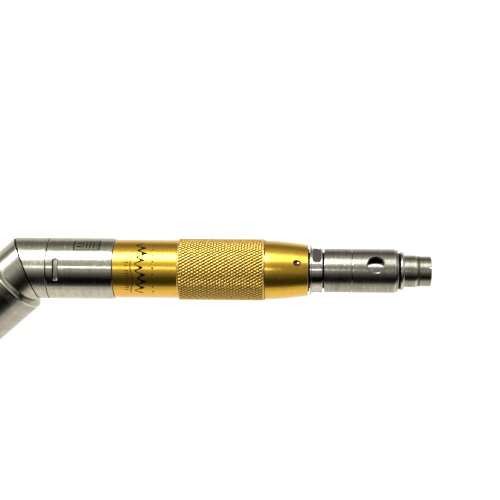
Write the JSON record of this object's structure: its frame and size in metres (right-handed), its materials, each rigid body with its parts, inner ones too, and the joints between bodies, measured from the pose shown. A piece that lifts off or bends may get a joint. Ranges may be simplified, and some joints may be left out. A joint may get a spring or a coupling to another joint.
{
  "type": "prophy angle handpiece",
  "caption": "Air-driven rotary dental handpiece with a knurled gold twist grip, a swivelling mitred elbow and a stepped nose that a slip-on prophy angle fits.",
  "frame": {"origin": "centre of the hose connection face, at the end of the rear arm", "axes": "+X along the barrel towards the tool, +Z towards the index mark on the front collar"},
  "size_m": [0.1642, 0.0408, 0.0321],
  "materials": {
    "brushed_steel": "turned and fine-brushed stainless steel",
    "satin_steel": "satin stainless steel, slightly worn",
    "polished_steel": "polished",
    "gold_anodised": "gold anodised, glossy, with a diamond knurl",
    "bearing_steel": "ground bearing steel",
    "spring_steel": "hardened spring steel",
    "bronze": "oiled bearing bronze",
    "phenolic": "fabric-filled phenolic",
    "black_rubber": "matt black rubber"
  },
  "bodies": {
    "barrel": {"rear_housing": "brushed_steel", "retaining_ring": "satin_steel", "motor_body": "satin_steel", "cartridge_spacer": "satin_steel", "rear_end_plate": "satin_steel", "rear_bearing_outer": "bearing_steel", "motor_liner": "bronze", "front_end_plate": "satin_steel", "front_bearing_outer": "bearing_steel", "preload_washer": "spring_steel", "front_nut": "satin_steel", "grip_oring": "black_rubber", "nose_core": "satin_steel", "pocket_ring": "polished_steel", "nose_tube_rear": "satin_steel", "nose_tube_front": "satin_steel", "snap_ring": "spring_steel", "nose_bushing": "bronze", "dust_seal": "black_rubber"},
    "elbow_front_half": {"elbow_front": "brushed_steel", "elbow_oring": "black_rubber", "swivel_retainer": "bronze", "swivel_washer": "spring_steel"},
    "elbow_rear_half": {"elbow_rear": "brushed_steel", "swivel_journal": "bearing_steel", "coupling_oring_front": "black_rubber", "coupling_oring_rear": "black_rubber", "coupling_retainer": "spring_steel"},
    "hose_end": {"hose_coupling": "brushed_steel", "hose_insert": "satin_steel"},
    "grip": {"grip_sleeve": "gold_anodised", "front_collar": "gold_anodised", "cam_pin": "polished_steel"},
    "pusher": {"pusher_ring": "bronze"},
    "rotor_shaft": {"spindle": "bearing_steel", "rotor": "satin_steel", "vane_1": "phenolic", "vane_2": "phenolic", "vane_3": "phenolic", "vane_4": "phenolic", "rear_bearing_inner": "bearing_steel", "front_bearing_inner": "bearing_steel", "chuck_tube": "polished_steel"},
    "rear_balls": {"rear_ball_cage": "bronze"},
    "front_balls": {"front_ball_cage": "bronze"},
    "collet": {"collet": "bearing_steel", "cross_pin": "bearing_steel", "collet_spring": "spring_steel"}
  },
  "joints": [
    {"name": "elbow_twist", "type": "hinge", "parent": "barrel", "child": "elbow_front_half", "pos_m": [0.03316, 0.02524, 0.01411], "axis": [1, 0, 0], "continuous": true},
    {"name": "mitre_swivel", "type": "hinge", "parent": "elbow_front_half", "child": "elbow_rear_half", "pos_m": [0.03316, 0.02524, 0.01411], "axis": [0.9239, 0.3818, 0.0267], "range_deg": [-47, 133]},
    {"name": "coupling_swivel", "type": "hinge", "parent": "elbow_rear_half", "child": "hose_end", "pos_m": [0.03316, 0.02524, 0.01411], "axis": [-0.7537, -0.5737, -0.3207], "continuous": true},
    {"name": "grip_twist", "type": "hinge", "parent": "barrel", "child": "grip", "pos_m": [0.03316, 0.02524, 0.01411], "axis": [1, 0, 0], "range_deg": [0, 45]},
    {"name": "pusher_slide", "type": "slide", "parent": "barrel", "child": "pusher", "axis": [1, 0, 0], "range_m": [0, 0.0012]},
    {"name": "spindle_spin", "type": "hinge", "parent": "barrel", "child": "rotor_shaft", "pos_m": [0.03316, 0.02524, 0.01411], "axis": [1, 0, 0], "continuous": true},
    {"name": "rear_cage_spin", "type": "hinge", "parent": "barrel", "child": "rear_balls", "pos_m": [0.03316, 0.02524, 0.01411], "axis": [1, 0, 0], "continuous": true},
    {"name": "front_cage_spin", "type": "hinge", "parent": "barrel", "child": "front_balls", "pos_m": [0.03316, 0.02524, 0.01411], "axis": [1, 0, 0], "continuous": true},
    {"name": "collet_slide", "type": "slide", "parent": "rotor_shaft", "child": "collet", "axis": [1, 0, 0], "range_m": [0, 0.0012], "deforming": ["collet_spring"]}
  ],
  "couplings": [
    {"joint": "pusher_slide", "follows": "grip_twist", "m_per_rad": 0.0015278},
    {"joint": "collet_slide", "follows": "grip_twist", "m_per_rad": 0.0015278},
    {"joint": "rear_cage_spin", "follows": "spindle_spin", "ratio": 0.4},
    {"joint": "front_cage_spin", "follows": "spindle_spin", "ratio": 0.4}
  ]
}
